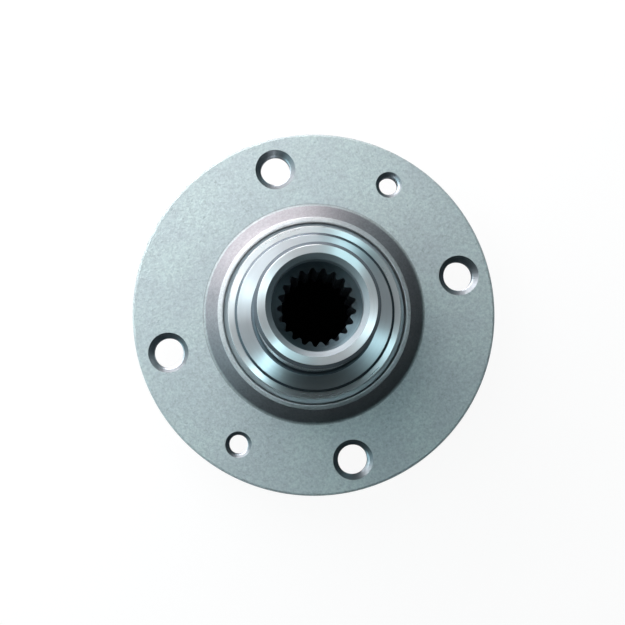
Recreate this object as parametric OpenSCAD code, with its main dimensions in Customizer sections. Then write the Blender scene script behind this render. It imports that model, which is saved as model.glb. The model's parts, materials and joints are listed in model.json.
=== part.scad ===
/* Driven wheel hub with a pressed-on seal ring. Millimetres, +Z along the bore towards the
   journal's nose. The origin is on the bore axis, at the end of the spigot, on which the hub
   stands with its nose up. */

/* [Flange] */
// Width of the flange outside the circle that all six holes lie on
rim_w = 11; // [9:0.5:30]
// Thickness of the flange, from the disc face to the inboard face
flange_t = 10; // [8:0.5:16]
// Chamfer on both rim edges of the flange
rim_chamfer = 1; // [0.3:0.1:1.5]

/* [Bolt holes] */
// Diameter of the circle that all six holes lie on
pitch_d = 108; // [96:1:140]
// Number of tapped wheel bolt holes
wheel_holes = 4; // [3:1:5]
// Tapping size of a wheel bolt hole
wheel_tap_d = 10.7; // [8:0.1:12]
// Mouth diameter of a wheel bolt hole's chamfer
wheel_mouth_d = 14.4; // [12.4:0.1:16]
// Number of tapped disc screw holes
disc_holes = 2; // [1:1:4]
// Tapping size of a disc screw hole
disc_tap_d = 6.8; // [5:0.1:7.8]
// Mouth diameter of a disc screw hole's chamfer
disc_mouth_d = 9.4; // [8:0.1:11]

/* [Boss] */
// Height of the lip land above the flange's inboard face
boss_h = 5.5; // [4:0.1:9]
// Radial run of the forged cone, from its foot to the lip
cone_run = 5; // [3:0.1:7]
// Blend radius at the foot of the cone
cone_fillet = 1.4; // [0.5:0.1:2]
// Radial width of the turned lip land
lip_w = 1.4; // [1:0.1:3]
// Rounding of the lip's outer edge
lip_round = 0.4; // [0.1:0.1:0.8]
// Radial gap between the lip and the seal ring
groove_w = 2.3; // [1.5:0.1:4]
// Depth of the groove below the lip land
groove_depth = 3.4; // [2:0.1:4]
// Blend radius at the groove's outer corner
groove_fillet = 0.5; // [0.2:0.1:1]

/* [Seal ring] */
// Diameter of the seat that the ring is pressed onto, which is the ring's bore
ring_seat_d = 56.4; // [52:0.1:60]
// Wall of the ring
ring_wall = 2.45; // [1.5:0.05:4]
// Height of the ring's top face above the lip land
ring_rise = 4.1; // [2:0.1:8]
// Edge break on the ring's outer edges
ring_edge = 0.3; // [0.1:0.05:0.6]
// Chamfer on the ring's bore where it starts onto its seat
ring_lead = 0.5; // [0.2:0.1:1]

/* [Bearing journal] */
// Step from the ring's top face up to the bearing shoulder
shoulder_step = 0.9; // [0.3:0.1:3]
// Chamfer on the shoulder's outer edge, measured along the radius
shoulder_chamfer = 0.6; // [0.2:0.05:1]
// Diameter of the bearing journal
journal_d = 42; // [40:0.5:46]
// Length of the journal, from the shoulder to the nose end
journal_len = 39.5; // [30:0.5:50]
// Fillet at the foot of the journal
journal_fillet = 1.5; // [0.5:0.1:2.5]
// Lead chamfer at the nose, measured along the radius
lead_chamfer = 1.25; // [0.5:0.05:1.6]
// Length of the lead chamfer along the axis
lead_len = 2; // [1:0.1:4]

/* [Bore] */
// Diameter of the counterbore at the nose
counterbore_d = 30.6; // [28.5:0.1:32]
// Depth of the counterbore's straight wall, from the nose end
counterbore_depth = 10.7; // [6:0.1:16]
// Chamfer at the mouth of the counterbore
mouth_chamfer = 1.8; // [0.5:0.1:2.2]
// Slope of the counterbore's conical floor, from the plane of the nose end
floor_slope = 30; // [15:1:45]

/* [Spline] */
// Number of spline teeth
teeth = 21; // [18:1:24]
// Turn of the first tooth from the first wheel bolt hole
spline_turn = 4.5; // [0:0.5:17]
// Diameter at the roots between the teeth
spline_root_d = 26.5; // [25.5:0.1:27]
// Diameter at the tooth crests
spline_crest_d = 23.4; // [23:0.1:24.4]
// Angle of the tooth flanks to the radius
flank_angle = 30; // [20:1:33]
// Rounding of the tooth crests
crest_round = 0.55; // [0.2:0.05:0.65]
// Rounding of the roots
root_round = 0.25; // [0.1:0.05:0.4]
// Chamfer at the spline's outboard end, past the roots
spline_chamfer = 0.8; // [0.3:0.1:1.5]

/* [Spigot] */
// Diameter that centres the brake disc
disc_pilot_d = 66; // [65.2:0.1:70]
// Length of the disc's centring diameter
disc_pilot_len = 6.5; // [4:0.5:10]
// Diameter that centres the wheel
wheel_pilot_d = 65; // [62:0.1:65]
// Length of the wheel's centring diameter
wheel_pilot_len = 8.5; // [6:0.5:20]
// Lead chamfer on the end of the spigot
spigot_chamfer = 1.5; // [0.5:0.1:3]
// Fillet at the spigot's foot, which the disc's own chamfer clears
pilot_fillet = 0.8; // [0.3:0.1:1.5]

/* [Nut recess] */
// Diameter of the recess at its mouth
recess_d = 53; // [48:0.5:55]
// Height of the nut's seat above the disc face
nut_seat_h = 5; // [1:0.5:7]
// Draft of the recess wall from the axis, in degrees
recess_draft = 6; // [2:0.5:8]
// Blend radius between the wall and the nut's seat
recess_fillet = 3; // [1:0.5:4]
// Chamfer at the mouth of the recess
recess_chamfer = 1; // [0.3:0.1:2]

/* [Hidden] */

// Facets of a full circle, and segments on one blend arc
round_fn = 180;
blend_steps = 6;
// Reach of a cutter past the face that it cuts, and of the blank inside the tooth crests
past = 1;

// Heights above the end of the spigot
disc_face_z = wheel_pilot_len + disc_pilot_len;
nut_seat_z = disc_face_z + nut_seat_h;
flange_z = disc_face_z + flange_t;
lip_z = flange_z + boss_h;
groove_z = lip_z - groove_depth;
ring_top_z = lip_z + ring_rise;
shoulder_z = ring_top_z + shoulder_step;
nose_z = shoulder_z + journal_len;

// Radii, from the journal outwards
journal_r = journal_d / 2;
seat_r = ring_seat_d / 2;
ring_r = seat_r + ring_wall;
lip_in_r = ring_r + groove_w;
lip_r = lip_in_r + lip_w;
cone_r = lip_r + cone_run;
disc_pilot_r = disc_pilot_d / 2;
wheel_pilot_r = wheel_pilot_d / 2;
pitch_r = pitch_d / 2;
flange_r = pitch_r + rim_w;

// Bore, spline and recess
counterbore_r = counterbore_d / 2;
counterbore_z = nose_z - counterbore_depth;
root_r = spline_root_d / 2;
crest_r = spline_crest_d / 2;
blank_r = crest_r - past;
floor_z = counterbore_z - (counterbore_r - blank_r) * tan(floor_slope);
spline_mouth_r = root_r + spline_chamfer;
recess_r = recess_d / 2;
recess_foot_r = recess_r - nut_seat_z * tan(recess_draft);

// Angles of a tooth and of a space, halved, at crest and root
pitch_angle = 360 / teeth;
flank_turn = (root_r - crest_r) * tan(flank_angle) / (root_r + crest_r) * 180 / PI;
half_tooth = pitch_angle / 4 - flank_turn;

// A corner in polar form, with its blend radius
function polar(r, angle, blend) = [r * cos(angle), r * sin(angle), blend];

// Unit vector from one corner to the next
function toward(a, b) = let (d = [b[0] - a[0], b[1] - a[1]]) d / norm(d);

// Arc that replaces one corner, tangent to both of its sides
function corner_arc(a, p, b) = let (
    u = toward(p, a),
    v = toward(p, b),
    half = acos(u * v) / 2,
    side = p[2] / tan(half),
    centre = [p[0], p[1]] + (u + v) / norm(u + v) * p[2] / sin(half),
    from = [p[0], p[1]] + u * side - centre,
    to = [p[0], p[1]] + v * side - centre,
    sweep = 180 - 2 * half)
    [for (i = [0 : blend_steps]) let (s = i / blend_steps)
        centre + (sin((1 - s) * sweep) * from + sin(s * sweep) * to) / sin(sweep)];

// Closed outline from corners [x, y, blend radius]
function blended(c) = let (n = len(c))
    [for (i = [0 : n - 1]) each c[i][2] == 0
        ? [[c[i][0], c[i][1]]]
        : corner_arc(c[(i + n - 1) % n], c[i], c[(i + 1) % n])];

// Outboard end: the spline's chamfer, the nut recess and the stepped spigot
outboard_corners = [
    [blank_r, nut_seat_z + spline_mouth_r - blank_r, 0],
    [spline_mouth_r, nut_seat_z, 0],
    [recess_foot_r, nut_seat_z, recess_fillet],
    [recess_r, recess_chamfer, 0],
    [recess_r + recess_chamfer, 0, 0],
    [wheel_pilot_r - spigot_chamfer, 0, 0],
    [wheel_pilot_r, spigot_chamfer, 0],
    [wheel_pilot_r, wheel_pilot_len, 0],
    [disc_pilot_r, wheel_pilot_len + abs(disc_pilot_r - wheel_pilot_r), 0],
    [disc_pilot_r, disc_face_z, pilot_fillet]];

// Flange: rim, inboard face, forged cone, lip land and groove
flange_corners = [
    [flange_r - rim_chamfer, disc_face_z, 0],
    [flange_r, disc_face_z + rim_chamfer, 0],
    [flange_r, flange_z - rim_chamfer, 0],
    [flange_r - rim_chamfer, flange_z, 0],
    [cone_r, flange_z, cone_fillet],
    [lip_r, lip_z, lip_round],
    [lip_in_r, lip_z, 0],
    [lip_in_r, groove_z, groove_fillet]];

// Inboard end: ring seat, bearing shoulder, journal, nose and counterbore
journal_corners = [
    [seat_r, groove_z, 0],
    [seat_r, ring_top_z, 0],
    [seat_r - shoulder_chamfer, shoulder_z, 0],
    [journal_r, shoulder_z, journal_fillet],
    [journal_r, nose_z - lead_len, 0],
    [journal_r - lead_chamfer, nose_z, 0],
    [counterbore_r + mouth_chamfer, nose_z, 0],
    [counterbore_r, nose_z - mouth_chamfer, 0],
    [counterbore_r, counterbore_z, 0],
    [blank_r, floor_z, 0]];

// Two corners on the crest and two at the root, for each tooth
spline_corners = [for (i = [0 : teeth - 1]) let (a = i * pitch_angle, b = a + pitch_angle / 2) each [
    polar(crest_r, a - half_tooth, crest_round),
    polar(crest_r, a + half_tooth, crest_round),
    polar(root_r, b - half_tooth, root_round),
    polar(root_r, b + half_tooth, root_round)]];

// Turned forging before it is splined and drilled
module blank() {
    rotate_extrude($fn = round_fn)
        polygon(blended(concat(outboard_corners, flange_corners, journal_corners)));
}

// Broached spline, from the nut's seat to the floor of the counterbore
module spline_cut() {
    translate([0, 0, nut_seat_z - past])
        rotate(spline_turn)
            linear_extrude(counterbore_z - nut_seat_z + past)
                polygon(blended(spline_corners));
}

// Tapped hole with a 45 degree chamfer on both faces
module tapped_hole(tap_d, mouth_d) {
    chamfer = (mouth_d - tap_d) / 2;
    translate([0, 0, -past])
        cylinder(h = flange_t + 2 * past, d = tap_d, $fn = round_fn);
    translate([0, 0, flange_t - chamfer])
        cylinder(h = chamfer + past, d1 = tap_d, d2 = mouth_d + 2 * past, $fn = round_fn);
    translate([0, 0, -past])
        cylinder(h = chamfer + past, d1 = mouth_d + 2 * past, d2 = tap_d, $fn = round_fn);
}

// Wheel bolt holes, with each disc screw hole midway between two of them
module hole_pattern() {
    for (i = [0 : wheel_holes - 1])
        rotate(360 * i / wheel_holes)
            translate([pitch_r, 0, disc_face_z])
                tapped_hole(wheel_tap_d, wheel_mouth_d);
    for (i = [0 : disc_holes - 1])
        rotate(360 * (floor(i * wheel_holes / disc_holes) + 0.5) / wheel_holes)
            translate([pitch_r, 0, disc_face_z])
                tapped_hole(disc_tap_d, disc_mouth_d);
}

// Forged and turned hub
module hub_flange() {
    color([0.72, 0.77, 0.79])
        difference() {
            blank();
            spline_cut();
            hole_pattern();
        }
}

// Hardened ring for the seal's lip, pressed against the floor of the groove
module seal_ring() {
    color([0.85, 0.89, 0.91])
        rotate_extrude($fn = round_fn)
            polygon([
                [seat_r + ring_lead, groove_z],
                [ring_r - ring_edge, groove_z],
                [ring_r, groove_z + ring_edge],
                [ring_r, ring_top_z - ring_edge],
                [ring_r - ring_edge, ring_top_z],
                [seat_r, ring_top_z],
                [seat_r, groove_z + ring_lead]]);
}

hub_flange();
seal_ring();
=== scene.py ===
"""Looks of the driven wheel hub: the forging with its turned and ground faces, six tapped holes and
broached spline, and the seal ring pressed on it. Metres, +Z along the bore towards the nose."""

import json
import math

import bpy
from mathutils import Matrix, Vector


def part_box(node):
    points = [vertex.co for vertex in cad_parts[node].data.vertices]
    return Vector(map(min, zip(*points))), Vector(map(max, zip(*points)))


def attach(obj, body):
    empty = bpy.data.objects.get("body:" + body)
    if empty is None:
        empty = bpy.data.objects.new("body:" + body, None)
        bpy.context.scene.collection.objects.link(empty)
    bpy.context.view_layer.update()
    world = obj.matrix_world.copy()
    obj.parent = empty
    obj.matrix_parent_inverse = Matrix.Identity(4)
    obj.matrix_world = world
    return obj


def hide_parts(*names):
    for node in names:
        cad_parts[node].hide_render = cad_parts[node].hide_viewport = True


MM = 0.001
CIRCLE = 2 * math.pi

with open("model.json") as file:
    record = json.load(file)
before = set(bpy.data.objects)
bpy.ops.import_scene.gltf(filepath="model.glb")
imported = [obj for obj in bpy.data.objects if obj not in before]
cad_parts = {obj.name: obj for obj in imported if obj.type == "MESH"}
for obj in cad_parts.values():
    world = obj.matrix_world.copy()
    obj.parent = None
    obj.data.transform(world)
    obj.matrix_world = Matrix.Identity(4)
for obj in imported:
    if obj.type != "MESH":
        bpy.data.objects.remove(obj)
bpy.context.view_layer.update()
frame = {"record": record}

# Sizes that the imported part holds
mounts = {mount["name"]: mount for mount in frame["record"]["mounts"]}
hub_low, hub_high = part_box("hub_flange")
ring_low, ring_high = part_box("seal_ring")
FLANGE_R = hub_high.x
NOSE_Z = hub_high.z
RING_R = ring_high.x
RING_FOOT_Z = ring_low.z
RING_TOP_Z = ring_high.z
DISC_FACE_Z = mounts["disc_face"]["pos_m"][2]
SHOULDER_Z = mounts["bearing_shoulder"]["pos_m"][2]
NUT_SEAT_Z = mounts["nut_seat"]["pos_m"][2]
JOURNAL_R = mounts["bearing_journal"]["dims"]["r_mm"] * MM
DISC_PILOT_R = mounts["disc_pilot"]["dims"]["r_mm"] * MM
WHEEL_PILOT_R = mounts["wheel_pilot"]["dims"]["r_mm"] * MM
COUNTERBORE_R = mounts["shank_counterbore"]["dims"]["r_mm"] * MM

# Flange, boss and groove
FLANGE_Z = DISC_FACE_Z + 10 * MM
# Chamfer of the outboard rim
RIM_CHAMFER = 1 * MM
# Slope that the blasting leaves on the inboard rim, and its rounded edge
RIM_RUN = 0.7 * MM
RIM_DROP = 0.15 * MM
RIM_ROUND = 0.1 * MM
LIP_Z = FLANGE_Z + 5.5 * MM
LIP_IN_R = RING_R + 1.8 * MM
LIP_R = LIP_IN_R + 1.9 * MM
CONE_R = LIP_R + 5 * MM
CONE_FILLET = 1.4 * MM
# Radial run of the cone that keeps the flange's finish, just past the fillet
CONE_START = 0.32 * CONE_FILLET
# Height of the lip's outer corner, which its land slopes down to
LIP_FOOT_Z = LIP_Z - 0.55 * MM
# Roundings of the lip's outer and inner corners
LIP_ROUND = 0.4 * MM
LIP_IN_ROUND = 0.5 * MM
GROOVE_FILLET = 0.5 * MM

# Seal ring
RING_WALL = 2.45 * MM
RING_EDGE = 0.3 * MM
RING_LEAD = 0.5 * MM
SEAT_R = RING_R - RING_WALL

# Shoulder, journal and nose
SHOULDER_CHAMFER = 0.9 * MM
JOURNAL_FILLET = 1.5 * MM
# How far up the journal its fillet's own finish runs, in fillets
FILLET_REACH = 1.3
LEAD_CHAMFER = 1.25 * MM
LEAD_LENGTH = 2 * MM
MOUTH_CHAMFER = 1.8 * MM
COUNTERBORE_Z = NOSE_Z - 10.7 * MM
FLOOR_SLOPE = math.radians(30)

# Spline
TEETH = 21
SPLINE_ROOT_R = 13.25 * MM
SPLINE_CREST_R = 11.7 * MM
# Where a tooth's flank starts, as a share of the way from crest to root
FLANK_START = 0.14
BLANK_R = 10.7 * MM
SPLINE_MOUTH_R = SPLINE_ROOT_R + 0.8 * MM
# Turn of the first tooth from the first wheel bolt hole
SPLINE_TURN = math.radians(4.5)

# Spigot and nut recess
WHEEL_PILOT_Z = 8.5 * MM
PILOT_FILLET = 0.8 * MM
SPIGOT_CHAMFER = 1.5 * MM
RECESS_R = 26.5 * MM
RECESS_DRAFT = math.radians(6)
RECESS_FILLET = 3 * MM
RECESS_CHAMFER = 1 * MM
RECESS_FOOT_R = RECESS_R - NUT_SEAT_Z * math.tan(RECESS_DRAFT)

# Tapped holes
THREAD_PITCH = 1.25 * MM
THREAD_DEPTH = 0.65 * MM
# Depth at which a thread's ridge starts inside its tap, and its widths there and at its top, in pitches
THREAD_SINK = 0.08 * MM
THREAD_FOOT = 0.98
THREAD_CREST = 0.13
# Radius at a countersink's blunt point, as a share of the tap's
SINK_POINT = 0.8
WHEEL_MOUTH_R = 7.2 * MM
DISC_MOUTH_R = 4.7 * MM

# Edge break of every turned corner, segments of a blend arc, and facets round the axis
EDGE = 0.15 * MM
ARC_STEPS = 5
ROUND = 336
TAP_FACETS = 48
SINK_FACETS = 96
TOOTH_STEPS = 20
# Angle between faces past which shading breaks
SHARP = math.radians(28)
# Strip beside each edge that keeps the shading of a flat face flat
GUARD = 0.06 * MM
# Reach of a cutter past the face that it cuts
PAST = 1 * MM

# Camera, fitted to the outlines of the flange, the holes and the nose
CAMERA_LENS = 88.24
CAMERA_DISTANCE = 550 * MM
CAMERA_TILT = math.radians(3.68)
CAMERA_TILT_TOWARD = math.radians(234.8)
CAMERA_ROLL = math.radians(14.9)
# Shift of the camera to its right and up
CAMERA_SLIDE = Vector((-0.56 * MM, 0.5 * MM, 0))

# Room and floor
ROOM_COLOUR = (0.45, 0.85, 1.0, 1)
ROOM_STRENGTH = 0.014
FLOOR_SIZE = 6
# Share of the floor's own white in what is seen straight, against its shaded colour
FLOOR_WHITE = 0.93
# The same share in what the metal mirrors, which shows a darker room
FLOOR_GLOSS = 0.12
CLOTH_COLOUR = (0.8, 0.8, 0.8, 1)
# Floor inside the nut recess, painted near black as the shade under the hub, which keeps the bore dark
RECESS_PAINTED_SHADE = (0.004, 0.004, 0.005, 1)
WHITE = (1, 1, 1, 1)

# Tints of the lamps
WARM = (1.0, 0.93, 0.93)
PALE = (0.95, 0.98, 1.0)
COOL = (0.85, 0.97, 1.0)
TEAL = (0.63, 0.94, 1.0)

# Blasted skin: scales of its patches and specks in features a millimetre, depth, and colours
PATCH_SCALE = 0.045
SPECK_SCALE = 0.9
DIMPLE_DEPTH = 0.08 * MM
SPECK_COLOUR = (0.12, 0.14, 0.14, 1)
SPECK_SHARE = 0.2
# Shade of the pits between the blasted dimples, against their steel's own
PIT_SHADE = 0.62

# Turned skin: how far its lay varies the roughness, and the lay's turn from the default tangent
ROUGHNESS_SWING = 0.03
LAY_TURN = 0.25


class Socket:
    """A node's output that Python's operators work on, each by adding a Math node."""

    def __init__(self, nodes, output):
        self.nodes = nodes
        self.output = output

    def maths(self, operation, *others):
        """A Math node's result, with this value first."""
        return self.nodes.maths(operation, self, *others)

    def __add__(self, other):
        return self.maths("ADD", other)

    def __sub__(self, other):
        return self.maths("SUBTRACT", other)

    def __mul__(self, other):
        return self.maths("MULTIPLY", other)

    def __truediv__(self, other):
        return self.maths("DIVIDE", other)

    def __rsub__(self, other):
        return self.nodes.maths("SUBTRACT", other, self)

    def __pow__(self, other):
        return self.maths("POWER", other)

    __radd__ = __add__
    __rmul__ = __mul__


class Nodes:
    """A node tree and the one way that its nodes are added: settings first, then sockets."""

    def __init__(self, tree):
        self.tree = tree

    def add(self, kind, settings=None, inputs=None, output=0):
        node = self.tree.nodes.new(kind)
        for name, value in (settings or {}).items():
            setattr(node, name, value)
        for key, value in (inputs or {}).items():
            self.connect(self.input_of(node, key), value)
        return Socket(self, self.output_of(node, output))

    def maths(self, operation, *values):
        return self.add("ShaderNodeMath", {"operation": operation}, dict(enumerate(values)))

    @staticmethod
    def input_of(node, key):
        if isinstance(key, int):
            return node.inputs[key]
        return next(s for s in node.inputs if s.enabled and s.name == key)

    @staticmethod
    def output_of(node, key):
        if isinstance(key, str):
            return node.outputs[key]
        enabled = [s for s in node.outputs if s.enabled]
        return enabled[key] if enabled else None

    def connect(self, socket, value):
        if isinstance(value, list):
            for one in value:
                self.connect(socket, one)
        elif isinstance(value, Socket):
            self.tree.links.new(value.output, socket)
        else:
            socket.default_value = value


class Shape(Nodes):
    """A Geometry Nodes tree with named inputs for its sizes."""

    def __init__(self, name, sizes):
        super().__init__(bpy.data.node_groups.new(name, "GeometryNodeTree"))
        for label, kind in sizes.items():
            self.tree.interface.new_socket(label, in_out="INPUT", socket_type="NodeSocket" + kind)
        self.tree.interface.new_socket("Mesh", in_out="OUTPUT", socket_type="NodeSocketGeometry")
        self.inputs = self.tree.nodes.new("NodeGroupInput")

    def size(self, label):
        return Socket(self, self.inputs.outputs[label])

    def finish(self, geometry):
        """Ends the tree in Realize Instances and Set Material."""
        realized = self.add("GeometryNodeRealizeInstances", None, {"Geometry": geometry})
        finished = self.add("GeometryNodeSetMaterial", None,
                            {"Geometry": realized, "Material": self.size("Finish")})
        self.add("NodeGroupOutput", None, {"Mesh": finished})
        return self


def grown(name, shape, sizes):
    """Plain mesh object from a Geometry Nodes tree at the sizes given."""
    grower = bpy.data.objects.new(name, bpy.data.meshes.new(name))
    bpy.context.scene.collection.objects.link(grower)
    modifier = grower.modifiers.new(name, "NODES")
    modifier.node_group = shape.tree
    for item in shape.tree.interface.items_tree:
        if item.in_out == "INPUT":
            modifier[item.identifier] = sizes[item.name]
    return applied(grower)


def applied(thing):
    """The object with its modifiers turned into plain mesh."""
    bpy.context.view_layer.update()
    graph = bpy.context.evaluated_depsgraph_get()
    mesh = bpy.data.meshes.new_from_object(thing.evaluated_get(graph))
    thing.modifiers.clear()
    thing.data = mesh
    mesh.name = thing.name
    return thing


def blended(corners):
    """Closed outline [(r, z, finish of the side that follows)] from corners (r, z, blend, finish)."""
    outline = []
    for i, (r, z, blend, finish) in enumerate(corners):
        corner = Vector((r, z))
        before = (Vector(corners[i - 1][:2]) - corner).normalized()
        after = (Vector(corners[(i + 1) % len(corners)][:2]) - corner).normalized()
        half = before.angle(after) / 2
        if blend == 0:
            outline.append((r, z, finish))
            continue
        centre = corner + (before + after).normalized() * blend / math.sin(half)
        start = corner + before * blend / math.tan(half) - centre
        end = corner + after * blend / math.tan(half) - centre
        sweep = math.pi - 2 * half
        for step in range(ARC_STEPS + 1):
            s = step / ARC_STEPS
            spoke = (math.sin((1 - s) * sweep) * start + math.sin(s * sweep) * end) / math.sin(sweep)
            outline.append((*(centre + spoke), finish))
    return outline


def guarded(outline):
    """The outline with a narrow strip added at both ends of each long side."""
    points = []
    for i, (r, z, finish) in enumerate(outline):
        here = Vector((r, z))
        side = Vector(outline[(i + 1) % len(outline)][:2]) - here
        points.append((r, z, finish))
        if side.length > 8 * GUARD:
            step = side.normalized() * GUARD
            points.append((*(here + step), finish))
            points.append((*(here + side - step), finish))
    return points


def revolved(name, corners, finishes):
    """Closed mesh turned about the Z axis from an outline that runs anticlockwise in (r, z)."""
    points = guarded(blended(corners))
    count = len(points)
    vertices = []
    faces = []
    for turn in range(ROUND):
        angle = CIRCLE * turn / ROUND
        vertices += [(r * math.cos(angle), r * math.sin(angle), z) for r, z, _ in points]
        here = turn * count
        there = (turn + 1) % ROUND * count
        for i in range(count):
            j = (i + 1) % count
            faces.append((here + i, there + i, there + j, here + j))
    mesh = bpy.data.meshes.new(name)
    mesh.from_pydata(vertices, [], faces)
    names = list(finishes)
    for finish in names:
        mesh.materials.append(finishes[finish])
    numbers = [names.index(finish) for _, _, finish in points]
    mesh.polygons.foreach_set("material_index", numbers * ROUND)
    piece = bpy.data.objects.new(name, mesh)
    bpy.context.scene.collection.objects.link(piece)
    return piece


HOLE_SIZES = {"Count": "Int", "Circle Radius": "Float", "First Angle": "Float", "Height": "Float",
              "Tap Radius": "Float", "Finish": "Material"}


def on_circle(shape, cutter):
    """Instances of a cutter on the hole circle, each turned with its own angle."""
    count = shape.size("Count")
    angle = shape.add("GeometryNodeInputIndex") / count * CIRCLE + shape.size("First Angle")
    radius = shape.size("Circle Radius")
    place = shape.add("ShaderNodeCombineXYZ", None, {
        "X": angle.maths("COSINE") * radius,
        "Y": angle.maths("SINE") * radius,
        "Z": shape.size("Height")})
    points = shape.add("GeometryNodePoints", None, {"Count": count, "Position": place})
    turn = shape.add("ShaderNodeCombineXYZ", None, {"Z": angle})
    return shape.add("GeometryNodeInstanceOnPoints", None,
                     {"Points": points, "Instance": cutter, "Rotation": turn})


def raised(shape, geometry, height):
    """Geometry lifted along the axis."""
    lift = shape.add("ShaderNodeCombineXYZ", None, {"Z": height})
    return shape.add("GeometryNodeTransform", None, {"Geometry": geometry, "Translation": lift})


def tap_shape():
    """Tap for each hole: a rod with a helical ridge that cuts the thread."""
    shape = Shape("Taps on a circle", {**HOLE_SIZES, "Pitch": "Float", "Depth": "Float", "Length": "Float"})
    radius = shape.size("Tap Radius")
    pitch = shape.size("Pitch")
    length = shape.size("Length")
    rod = shape.add("GeometryNodeMeshCylinder", None,
                    {"Vertices": TAP_FACETS, "Radius": radius, "Depth": length})
    ridge_h = shape.size("Depth") + THREAD_SINK
    middle = radius - THREAD_SINK + ridge_h * 0.5
    helix = shape.add("GeometryNodeCurveSpiral", None, {
        "Resolution": TAP_FACETS, "Rotations": length / pitch, "Height": length,
        "Start Radius": middle, "End Radius": middle})
    upright = shape.add("GeometryNodeSetCurveNormal", {"mode": "Z_UP"}, {"Curve": helix})
    ridge = shape.add("GeometryNodeCurvePrimitiveQuadrilateral", {"mode": "TRAPEZOID"}, {
        "Bottom Width": pitch * THREAD_FOOT, "Top Width": pitch * THREAD_CREST,
        "Offset": 0.0, "Height": ridge_h})
    outward = shape.add("GeometryNodeTransform", None,
                        {"Geometry": ridge, "Rotation": (0, 0, CIRCLE / 4)})
    thread = shape.add("GeometryNodeCurveToMesh", None,
                       {"Curve": upright, "Profile Curve": outward, "Fill Caps": True})
    tap = shape.add("GeometryNodeMeshBoolean", {"operation": "UNION", "solver": "EXACT"},
                    {"Mesh": [rod, raised(shape, thread, length * -0.5)]})
    return shape.finish(on_circle(shape, tap))


def countersink_shape():
    """Countersinks for both ends of each hole: two 45 degree cones, point to point."""
    shape = Shape("Countersinks on a circle", {**HOLE_SIZES, "Mouth Radius": "Float", "Plate": "Float"})
    point = shape.size("Tap Radius") * SINK_POINT
    wide = shape.size("Mouth Radius") + PAST
    depth = wide - point
    outer = shape.size("Plate") * 0.5 + PAST
    upper = shape.add("GeometryNodeMeshCone", None, {
        "Vertices": SINK_FACETS, "Radius Top": wide, "Radius Bottom": point, "Depth": depth})
    lower = shape.add("GeometryNodeMeshCone", None, {
        "Vertices": SINK_FACETS, "Radius Top": point, "Radius Bottom": wide, "Depth": depth})
    pair = shape.add("GeometryNodeJoinGeometry", None, {
        "Geometry": [raised(shape, upper, outer - depth), raised(shape, lower, 0 - outer)]})
    return shape.finish(on_circle(shape, pair))


def broach_shape():
    """Broach for the spline: a prism whose radius swings between crest and root for each tooth."""
    shape = Shape("Broach", {"Teeth": "Int", "Crest Radius": "Float", "Root Radius": "Float",
                             "Turn": "Float", "Start": "Float", "Length": "Float", "Finish": "Material"})
    circle = shape.add("GeometryNodeCurvePrimitiveCircle", None,
                       {"Resolution": shape.size("Teeth") * TOOTH_STEPS, "Radius": 1.0})
    phase = (shape.add("GeometryNodeInputIndex") / TOOTH_STEPS).maths("FRACT")
    to_root = 1 - (phase * 2 - 1).maths("ABSOLUTE")
    radius = shape.add("ShaderNodeMapRange", {"interpolation_type": "SMOOTHSTEP"}, {
        "Value": to_root, "From Min": FLANK_START, "From Max": 1 - FLANK_START,
        "To Min": shape.size("Crest Radius"), "To Max": shape.size("Root Radius")})
    spoke = shape.add("ShaderNodeVectorMath", {"operation": "SCALE"},
                      {0: shape.add("GeometryNodeInputPosition"), "Scale": radius})
    toothed = shape.add("GeometryNodeSetPosition", None, {"Geometry": circle, "Position": spoke})
    stroke = shape.add("GeometryNodeCurvePrimitiveLine", {"mode": "DIRECTION"}, {
        "Start": shape.add("ShaderNodeCombineXYZ", None, {"Z": shape.size("Start")}),
        "Direction": (0, 0, 1), "Length": shape.size("Length")})
    prism = shape.add("GeometryNodeCurveToMesh", None,
                      {"Curve": stroke, "Profile Curve": toothed, "Fill Caps": True})
    turn = shape.add("ShaderNodeCombineXYZ", None, {"Z": shape.size("Turn")})
    aimed = shape.add("GeometryNodeTransform", None, {"Geometry": prism, "Rotation": turn})
    return shape.finish(aimed)


# Finishes, the darkest of them partly painted shade

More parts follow.
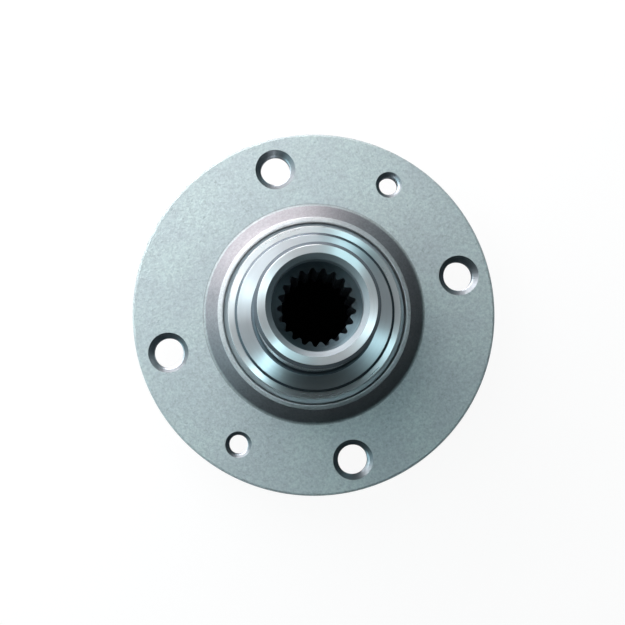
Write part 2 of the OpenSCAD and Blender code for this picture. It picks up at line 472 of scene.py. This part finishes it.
class Finish(Nodes):
    """A steel surface: one Principled shader fed from the place on the hub in millimetres."""

    def __init__(self, name):
        self.material = bpy.data.materials.new(name)
        self.material.use_nodes = True
        super().__init__(self.material.node_tree)
        self.tree.nodes.clear()
        coordinates = self.add("ShaderNodeTexCoord", None, None, "Object")
        self.place = self.add("ShaderNodeVectorMath", {"operation": "SCALE"},
                              {0: coordinates, "Scale": 1 / MM})
        self.x, self.y, self.z = (
            self.add("ShaderNodeSeparateXYZ", None, {0: self.place}, axis) for axis in "XYZ")
        self.radius = (self.x * self.x + self.y * self.y) ** 0.5

    def noise(self, scale, detail):
        return self.add("ShaderNodeTexNoise", None, {
            "Vector": self.place, "Scale": scale, "Detail": detail})

    def lay(self, fineness, wander):
        """Grooves that a tool leaves round the axis: so many a millimetre, breaking up so often a turn."""
        across = self.add("ShaderNodeCombineXYZ", None, {
            "X": self.radius * fineness, "Y": self.z * fineness, "Z": self.x / self.radius * wander})
        return self.add("ShaderNodeTexNoise", {"noise_dimensions": "4D"}, {
            "Vector": across, "W": self.y / self.radius * wander, "Scale": 1.0, "Detail": 1.0})

    def mixed(self, share, first, second):
        return self.add("ShaderNodeMix", {"data_type": "RGBA", "clamp_factor": True}, {
            "Factor": share, "A": first, "B": second})

    def between(self, value, low, high):
        """How far the value is from low to high, held within 0 and 1."""
        return self.add("ShaderNodeMapRange", {"interpolation_type": "SMOOTHSTEP"},
                        {"Value": value, "From Min": low, "From Max": high})

    def bump(self, height, depth):
        return self.add("ShaderNodeBump", None,
                        {"Strength": 1.0, "Distance": depth, "Height": height})

    def shade(self, colour, roughness, normal, metallic=1.0, anisotropy=0.0):
        shader = self.add("ShaderNodeBsdfPrincipled", None, {
            "Base Color": colour, "Roughness": roughness, "Normal": normal,
            "Metallic": metallic, "Anisotropic": anisotropy, "Anisotropic Rotation": LAY_TURN})
        self.add("ShaderNodeOutputMaterial", None, {"Surface": shader})
        return self.material


def shot_blasted(name, pale, deep, grain, roughness=0.7):
    """Forged skin after shot blasting: fine dimples, faint patches and a few dark specks."""
    steel = Finish(name)
    dimples = steel.noise(grain, 3)
    patches = steel.noise(PATCH_SCALE, 2)
    mottle = steel.noise(grain * 0.45, 2)
    specks = steel.between(steel.noise(SPECK_SCALE, 0), 0.76, 0.8)
    pits = (*(PIT_SHADE * part for part in deep), 1)
    tone = steel.mixed(steel.between(patches, 0.38, 0.62), (*pale, 1), (*deep, 1))
    grains = steel.between(mottle, 0.3, 0.7) * 0.25 + steel.between(dimples, 0.3, 0.7) * 0.3
    shaded = steel.mixed(grains, tone, pits)
    colour = steel.mixed(specks * SPECK_SHARE, shaded, SPECK_COLOUR)
    return steel.shade(colour, roughness + dimples * 0.1, steel.bump(dimples, DIMPLE_DEPTH), 1.0)


def turned(name, colour, dark, roughness, depth, lines=1.3, brushed=0.0, metallic=1.0):
    """Lathe-turned steel: its feed lines round the axis, so many a millimetre, and wider bands."""
    steel = Finish(name)
    fine = steel.lay(lines, 1.5)
    bands = steel.lay(lines * 0.2, 0.6)
    share = steel.between(fine, 0.3, 0.7) * 0.5 + steel.between(bands, 0.3, 0.7) * 0.5
    tone = steel.mixed(share, (*colour, 1), (*dark, 1))
    rough = roughness + (share - 0.5) * ROUGHNESS_SWING
    return steel.shade(tone, rough, steel.bump(fine, depth * MM), metallic, brushed)


finishes = {
    "blasted": shot_blasted("shot_blasted_flange", (0.415, 0.465, 0.465), (0.39, 0.43, 0.44), 1.5, 0.6),
    "forged": shot_blasted("forged_boss", (0.25, 0.25, 0.265), (0.225, 0.225, 0.24), 1.5, 0.46),
    "lip": shot_blasted("turned_lip", (0.42, 0.43, 0.44), (0.38, 0.39, 0.40), 1.8, 0.4),
    "heel": shot_blasted("blasted_heel", (0.30, 0.33, 0.335), (0.27, 0.295, 0.305), 1.5, 0.6),
    "turned": turned("turned_steel", (0.63, 0.655, 0.67), (0.56, 0.585, 0.60),
                     roughness=0.3, depth=0.002, brushed=0.97),
    "rim": turned("turned_rim", (0.27, 0.29, 0.295), (0.23, 0.25, 0.255),
                  roughness=0.5, depth=0.004),
    "shoulder": turned("turned_shoulder", (0.52, 0.55, 0.57), (0.46, 0.49, 0.51),
                       roughness=0.3, depth=0.0007, lines=1.0, brushed=1.0),
    "ring": turned("turned_ring", (0.64, 0.66, 0.67), (0.59, 0.61, 0.62),
                   roughness=0.28, depth=0.0005, lines=1.0, brushed=1.0),
    # Chamfers, the journal's fillet and the nose's lead: turned steel painted near black, as painted shade
    # and dark reflection for the thin dark lines round shoulder and nose
    "chamfered": turned("turned_chamfers", (0.09, 0.11, 0.125), (0.075, 0.09, 0.105),
                        roughness=0.45, depth=0.0006, lines=1.0, brushed=0.3),
    # Groove floor between lip and ring: turned steel darkened with painted shade for the shadow in the
    # groove
    "groove": turned("turned_groove", (0.30, 0.33, 0.35), (0.24, 0.26, 0.28),
                     roughness=0.45, depth=0.005),
    "ground": turned("ground_journal", (0.44, 0.46, 0.48), (0.39, 0.41, 0.43),
                     roughness=0.22, depth=0.0005, lines=2.0, brushed=0.7),
    # Counterbore wall, mouth, floor and spline: their steel's own machined tone darkened further with
    # painted shade, so the bore reads dark
    "bored": turned("bored_counterbore", (0.24, 0.275, 0.295), (0.19, 0.22, 0.24),
                    roughness=0.7, depth=0.01, metallic=0.5),
    "mouth": turned("turned_mouth", (0.205, 0.235, 0.25), (0.175, 0.20, 0.215),
                    roughness=0.6, depth=0.005, metallic=0.75),
    "drilled": turned("drilled_floor", (0.115, 0.15, 0.165), (0.08, 0.105, 0.12),
                      roughness=0.32, depth=0.01),
    "broached": turned("broached_spline", (0.20, 0.22, 0.24), (0.14, 0.155, 0.17),
                       roughness=0.4, depth=0.01, lines=0.6),
    "faced": turned("faced_disc_seat", (0.66, 0.69, 0.71), (0.52, 0.55, 0.58),
                    roughness=0.38, depth=0.01, brushed=0.8),
    "cast": shot_blasted("forged_recess", (0.40, 0.43, 0.45), (0.32, 0.34, 0.37), 1.1),
    "sunk": turned("countersunk_mouths", (0.21, 0.235, 0.25), (0.17, 0.19, 0.205),
                   roughness=0.45, depth=0.005),
    # Thread walls: cut steel darkened with painted shade for the shade inside the holes
    "threaded": turned("cut_threads", (0.24, 0.27, 0.29), (0.16, 0.185, 0.205),
                       roughness=0.35, depth=0.01, lines=0.8),
}


def machined_hole_set(hub, holes, mouth_r):
    """Countersinks and threads one set of holes in the hub."""
    plate = FLANGE_Z - DISC_FACE_Z
    sinks = grown("countersinks", countersink_shape(), {
        **holes, "Mouth Radius": mouth_r, "Plate": plate, "Finish": finishes["sunk"]})
    taps = grown("taps", tap_shape(), {
        **holes, "Pitch": THREAD_PITCH, "Depth": THREAD_DEPTH, "Length": plate + 2 * PAST})
    for cutter in (sinks, taps):
        cut(hub, cutter)


def cut(piece, cutter):
    """Cuts the cutter's shape, with its finish, out of the piece."""
    modifier = piece.modifiers.new(cutter.name, "BOOLEAN")
    modifier.operation = "DIFFERENCE"
    modifier.solver = "EXACT"
    modifier.material_mode = "TRANSFER"
    modifier.object = cutter
    applied(piece)
    bpy.data.objects.remove(cutter)


def hole_set(mount, first_angle):
    """Sizes of one set of tapped holes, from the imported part's mount."""
    dims = mounts[mount]["dims"]
    return {"Count": dims["count"], "Circle Radius": dims["pcd_mm"] / 2 * MM, "First Angle": first_angle,
            "Height": (DISC_FACE_Z + FLANGE_Z) / 2, "Tap Radius": dims["hole_r_mm"] * MM,
            "Finish": finishes["threaded"]}


HUB_CORNERS = [
    # Spline's outboard chamfer, nut recess and stepped spigot
    (BLANK_R, NUT_SEAT_Z + SPLINE_MOUTH_R - BLANK_R, 0, "broached"),
    (SPLINE_MOUTH_R, NUT_SEAT_Z, 0, "faced"),
    (RECESS_FOOT_R, NUT_SEAT_Z, RECESS_FILLET, "cast"),
    (RECESS_R, RECESS_CHAMFER, EDGE, "faced"),
    (RECESS_R + RECESS_CHAMFER, 0, EDGE, "faced"),
    (WHEEL_PILOT_R - SPIGOT_CHAMFER, 0, EDGE, "faced"),
    (WHEEL_PILOT_R, SPIGOT_CHAMFER, EDGE, "faced"),
    (WHEEL_PILOT_R, WHEEL_PILOT_Z, 0, "faced"),
    (DISC_PILOT_R, WHEEL_PILOT_Z + DISC_PILOT_R - WHEEL_PILOT_R, EDGE, "faced"),
    (DISC_PILOT_R, DISC_FACE_Z, PILOT_FILLET, "faced"),
    # Flange, forged cone, lip land and groove
    (FLANGE_R - RIM_CHAMFER, DISC_FACE_Z, EDGE, "faced"),
    (FLANGE_R, DISC_FACE_Z + RIM_CHAMFER, EDGE, "rim"),
    (FLANGE_R, FLANGE_Z - RIM_DROP, RIM_ROUND, "blasted"),
    (FLANGE_R - RIM_RUN, FLANGE_Z, EDGE, "blasted"),
    (CONE_R, FLANGE_Z, CONE_FILLET, "heel"),
    (CONE_R - CONE_START, FLANGE_Z + CONE_START * (LIP_FOOT_Z - FLANGE_Z) / (CONE_R - LIP_R), 0,
     "forged"),
    (LIP_R, LIP_FOOT_Z, LIP_ROUND, "lip"),
    (LIP_IN_R, LIP_Z, LIP_IN_ROUND, "lip"),
    (LIP_IN_R, RING_FOOT_Z, GROOVE_FILLET, "groove"),
    # Ring seat, bearing shoulder, journal, nose and counterbore
    (SEAT_R, RING_FOOT_Z, 0, "ground"),
    (SEAT_R, RING_TOP_Z, 0, "chamfered"),
    (SEAT_R - SHOULDER_CHAMFER, SHOULDER_Z, EDGE, "shoulder"),
    (JOURNAL_R, SHOULDER_Z, JOURNAL_FILLET, "chamfered"),
    (JOURNAL_R, SHOULDER_Z + FILLET_REACH * JOURNAL_FILLET, 0, "ground"),
    (JOURNAL_R, NOSE_Z - LEAD_LENGTH, EDGE, "chamfered"),
    (JOURNAL_R - LEAD_CHAMFER, NOSE_Z, EDGE, "turned"),
    (COUNTERBORE_R + MOUTH_CHAMFER, NOSE_Z, EDGE, "mouth"),
    (COUNTERBORE_R, NOSE_Z - MOUTH_CHAMFER, EDGE, "bored"),
    (COUNTERBORE_R, COUNTERBORE_Z, 0, "drilled"),
    (BLANK_R, COUNTERBORE_Z - (COUNTERBORE_R - BLANK_R) * math.tan(FLOOR_SLOPE), 0, "broached"),
]

RING_CORNERS = [
    (SEAT_R + RING_LEAD, RING_FOOT_Z, EDGE, "ring"),
    (RING_R, RING_FOOT_Z, RING_EDGE, "ring"),
    (RING_R, RING_TOP_Z, RING_EDGE, "edge"),
    (RING_R - 1.1 * RING_EDGE, RING_TOP_Z, 0, "ring"),
    (SEAT_R, RING_TOP_Z, EDGE, "ring"),
    (SEAT_R, RING_FOOT_Z + RING_LEAD, EDGE, "ring"),
]


def smoothed(piece):
    """Smooth shading, broken at every corner sharper than a blend arc's."""
    piece.data.polygons.foreach_set("use_smooth", [True] * len(piece.data.polygons))
    piece.data.set_sharp_from_angle(angle=SHARP)
    return piece


def make_hub():
    hub = revolved("hub_forging", HUB_CORNERS, finishes)
    broach = grown("broach", broach_shape(), {
        "Teeth": TEETH, "Crest Radius": SPLINE_CREST_R, "Root Radius": SPLINE_ROOT_R,
        "Turn": SPLINE_TURN, "Start": NUT_SEAT_Z - PAST,
        "Length": COUNTERBORE_Z - NUT_SEAT_Z + PAST, "Finish": finishes["broached"]})
    cut(hub, broach)
    machined_hole_set(hub, hole_set("wheel_bolts", 0), WHEEL_MOUTH_R)
    machined_hole_set(hub, hole_set("disc_screws", CIRCLE / 8), DISC_MOUTH_R)
    smoothed(hub)
    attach(hub, "root")
    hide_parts("hub_flange")


def make_seal_ring():
    ring = smoothed(revolved("pressed_seal_ring", RING_CORNERS, {
        "ring": finishes["ring"], "edge": finishes["lip"]}))
    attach(ring, "root")
    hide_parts("seal_ring")


# Stage: floor, lamps, world and camera

def camera_axes():
    """Right, up and back of the camera in the part's frame."""
    back = Vector((math.sin(CAMERA_TILT) * math.cos(CAMERA_TILT_TOWARD),
                   math.sin(CAMERA_TILT) * math.sin(CAMERA_TILT_TOWARD), math.cos(CAMERA_TILT)))
    right = Vector((math.cos(CAMERA_ROLL), -math.sin(CAMERA_ROLL), 0))
    right = (right - back * right.dot(back)).normalized()
    return right, back.cross(right), back


def make_camera():
    right, up, back = camera_axes()
    camera = bpy.data.objects.new("camera", bpy.data.cameras.new("camera"))
    camera.data.lens = CAMERA_LENS
    camera.data.clip_start = 0.01
    spot = Vector((0, 0, FLANGE_Z)) + back * CAMERA_DISTANCE + right * CAMERA_SLIDE.x + up * CAMERA_SLIDE.y
    camera.matrix_world = Matrix.Translation(spot) @ Matrix((right, up, back)).transposed().to_4x4()
    bpy.context.scene.collection.objects.link(camera)
    bpy.context.scene.camera = camera


def make_lamp(name, bearing, elevation, distance, size, power, colour):
    """Area lamp aimed at the boss. Its bearing is anticlockwise from the right of the picture."""
    turn = math.radians(bearing) - CAMERA_ROLL
    rise = math.radians(elevation)
    away = Vector((math.cos(turn) * math.cos(rise), math.sin(turn) * math.cos(rise), math.sin(rise)))
    lamp = bpy.data.lights.new(name, "AREA")
    lamp.shape = "RECTANGLE"
    lamp.size, lamp.size_y = size
    lamp.energy = power
    lamp.color = colour
    holder = bpy.data.objects.new(name, lamp)
    holder.location = Vector((0, 0, LIP_Z)) + away * distance
    holder.rotation_euler = away.to_track_quat("Z", "Y").to_euler()
    holder.visible_camera = False
    bpy.context.scene.collection.objects.link(holder)


def make_lamps():
    """A window at the upper left, dim sides and fills, and strips that streak the turned rings."""
    make_lamp("window", 120, 18, 0.35, (0.45, 0.12), 2.8, WARM)
    make_lamp("window_high", 120, 58, 0.35, (0.35, 0.2), 0.35, PALE)
    make_lamp("window_left", 138, 40, 0.35, (0.2, 0.2), 0.35, COOL)
    make_lamp("side_left", 170, 20, 0.35, (0.15, 0.1), 0.45, COOL)
    make_lamp("fill_left_low", 200, 20, 0.35, (0.15, 0.1), 0.25, TEAL)
    make_lamp("fill_left", 195, 60, 0.3, (0.15, 0.15), 0.08, WARM)
    make_lamp("fill_right", 10, 60, 0.3, (0.15, 0.15), 0.05, PALE)
    make_lamp("fill_upper_right", 60, 20, 0.35, (0.15, 0.1), 0.1, TEAL)
    make_lamp("strip_upper_right", 66, 66, 0.4, (0.04, 0.2), 0.1, TEAL)
    make_lamp("strip_upper_left", 154, 66, 0.4, (0.04, 0.2), 0.1, COOL)
    make_lamp("strip_lower_left", 223, 66, 0.4, (0.03, 0.2), 0.18, TEAL)
    make_lamp("strip_lower_right", 344, 66, 0.4, (0.04, 0.2), 0.12, TEAL)
    make_lamp("overhead", 90, 85, 1.2, (0.5, 0.5), 0.2, COOL)


def make_floor():
    bpy.ops.mesh.primitive_plane_add(size=FLOOR_SIZE)
    floor = bpy.context.object
    floor.name = "floor"
    material = bpy.data.materials.new("pale_floor")
    material.use_nodes = True
    nodes = Nodes(material.node_tree)
    nodes.tree.nodes.clear()
    place = nodes.add("ShaderNodeTexCoord", None, None, "Object")
    radius = nodes.add("ShaderNodeVectorMath", {"operation": "LENGTH"}, {0: place}, "Value")
    # Within the recess's radius the floor is painted shade: dark cloth and none of the white
    outside_painted_shade = radius.maths("GREATER_THAN", RECESS_R)
    camera, glossy, through = (nodes.add("ShaderNodeLightPath", None, None, ray)
                               for ray in ("Is Camera Ray", "Is Glossy Ray", "Is Transmission Ray"))
    straight = camera.maths("MAXIMUM", through) * FLOOR_WHITE + glossy * FLOOR_GLOSS
    tone = nodes.add("ShaderNodeMix", {"data_type": "RGBA"}, {
        "Factor": outside_painted_shade, "A": RECESS_PAINTED_SHADE, "B": CLOTH_COLOUR})
    cloth = nodes.add("ShaderNodeBsdfDiffuse", None, {"Color": tone})
    white = nodes.add("ShaderNodeEmission", None, {"Color": WHITE, "Strength": 1.0})
    lit = nodes.add("ShaderNodeMixShader", None, {0: straight * outside_painted_shade, 1: cloth, 2: white})
    clear = nodes.add("ShaderNodeBsdfTransparent")
    under = nodes.add("ShaderNodeNewGeometry", None, None, "Backfacing")
    shown = nodes.add("ShaderNodeMixShader", None, {0: under, 1: lit, 2: clear})
    nodes.add("ShaderNodeOutputMaterial", None, {"Surface": shown})
    floor.data.materials.append(material)


def make_world():
    world = bpy.data.worlds.new("studio")
    world.use_nodes = True
    nodes = Nodes(world.node_tree)
    nodes.tree.nodes.clear()
    seen = nodes.add("ShaderNodeLightPath", None, None, "Is Camera Ray")
    room = nodes.add("ShaderNodeBackground", None, {"Color": ROOM_COLOUR, "Strength": ROOM_STRENGTH})
    white = nodes.add("ShaderNodeBackground", None, {"Color": WHITE, "Strength": 1.0})
    shown = nodes.add("ShaderNodeMixShader", None, {0: seen, 1: room, 2: white})
    nodes.add("ShaderNodeOutputWorld", None, {"Surface": shown})
    bpy.context.scene.world = world


make_camera()
make_world()
make_floor()
make_lamps()
make_hub()
make_seal_ring()

bpy.context.scene.view_settings.view_transform = "Standard"
